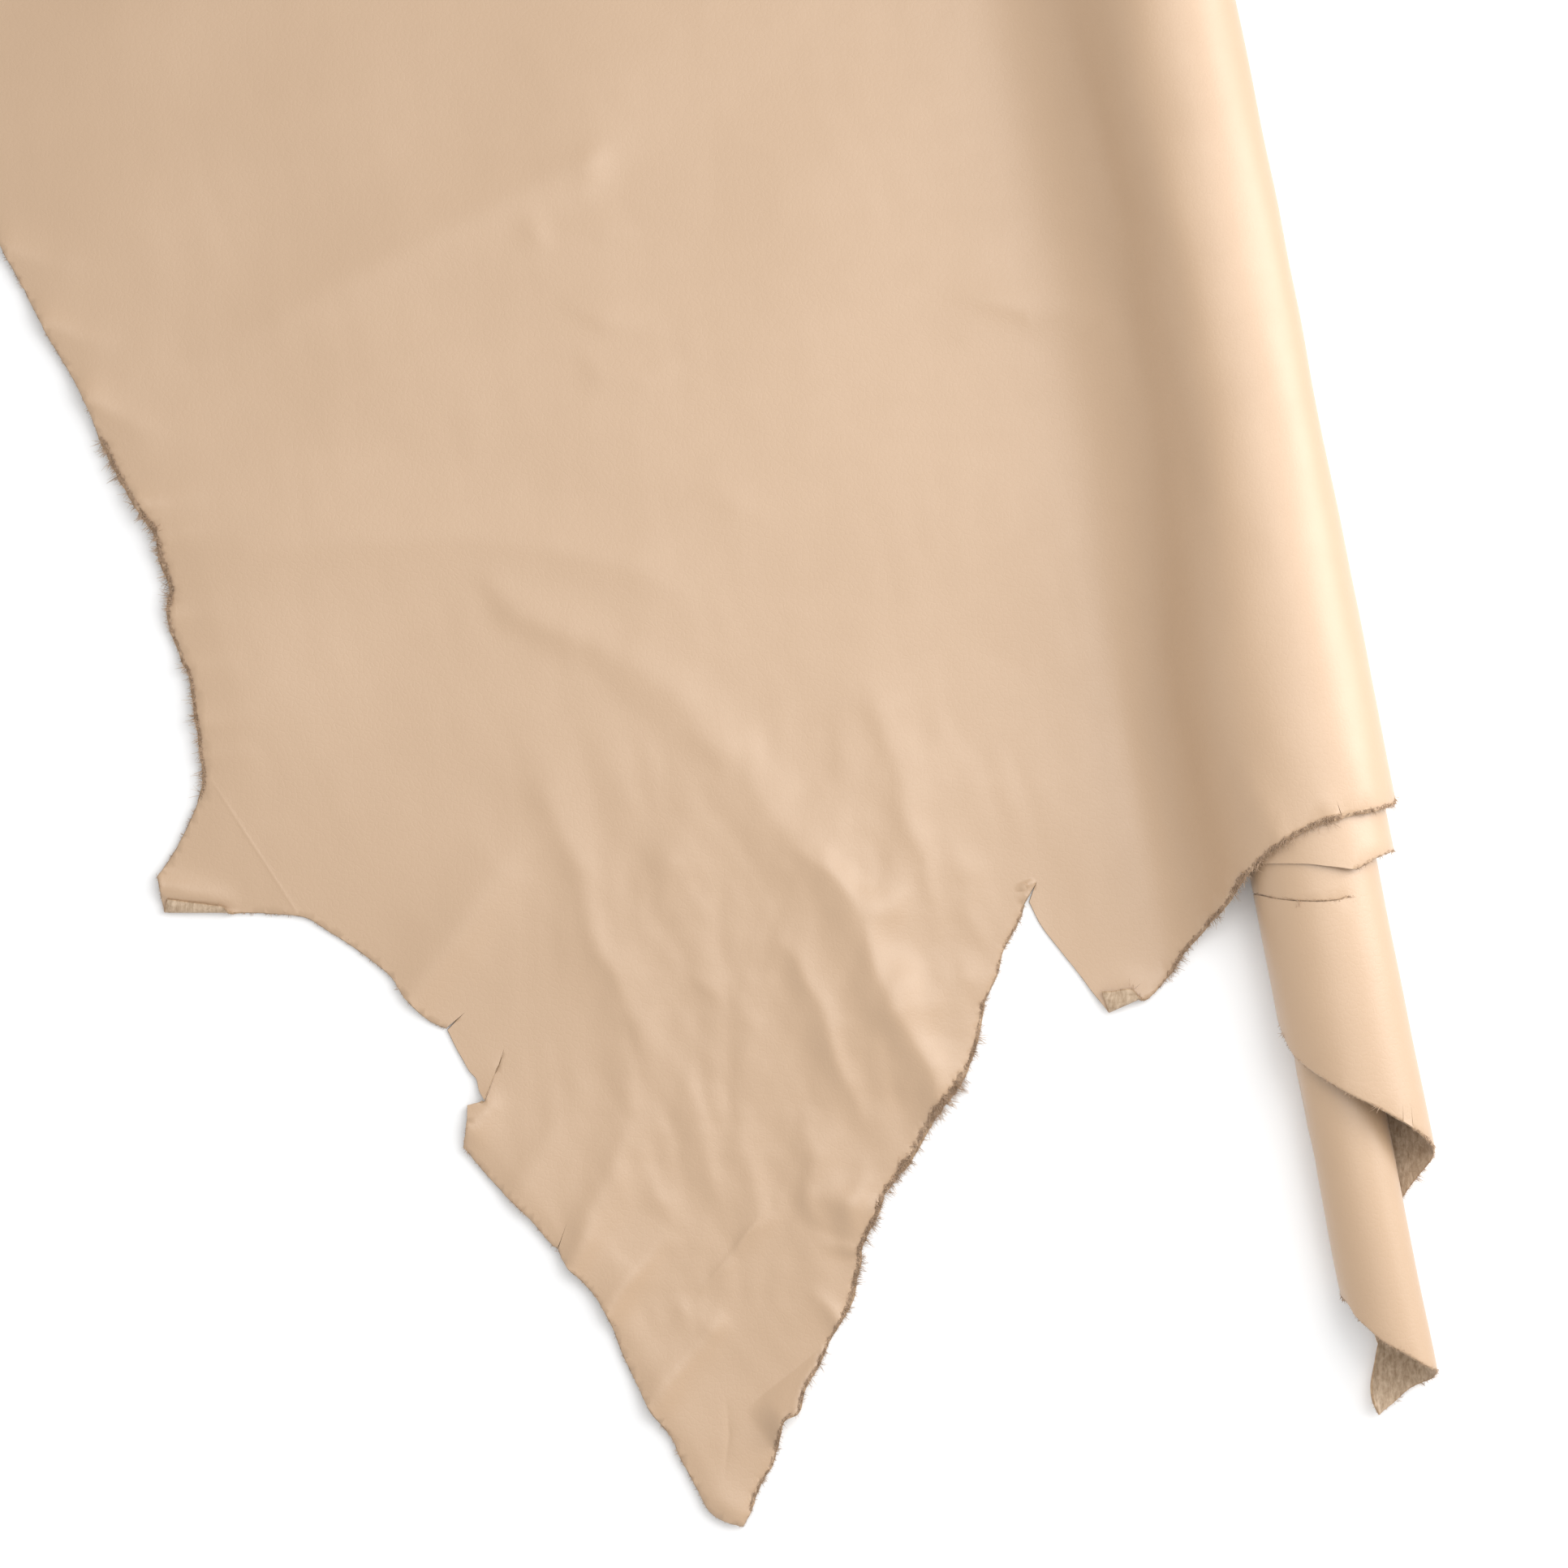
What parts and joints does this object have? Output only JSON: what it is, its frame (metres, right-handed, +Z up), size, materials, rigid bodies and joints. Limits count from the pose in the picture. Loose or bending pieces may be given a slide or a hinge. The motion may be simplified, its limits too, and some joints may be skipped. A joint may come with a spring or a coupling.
{
  "type": "leather hide",
  "caption": "Natural tan leather hide lying grain side up, its left half flat and its right half rolled under into a loose roll.",
  "frame": {"origin": "centre of the hide's bounding box, on the surface that it lies on", "axes": "+X towards the rolled side, +Y towards the neck end, +Z up, out of the grain side of the flat part"},
  "size_m": [1.1494, 1.9803, 0.0759],
  "materials": {
    "natural_leather": "smooth pale tan grain side with a soft satin sheen; napped, greyer flesh side; fuzzy raw edge"
  },
  "bodies": {
    "root": {"hide": "natural_leather"}
  },
  "joints": []
}
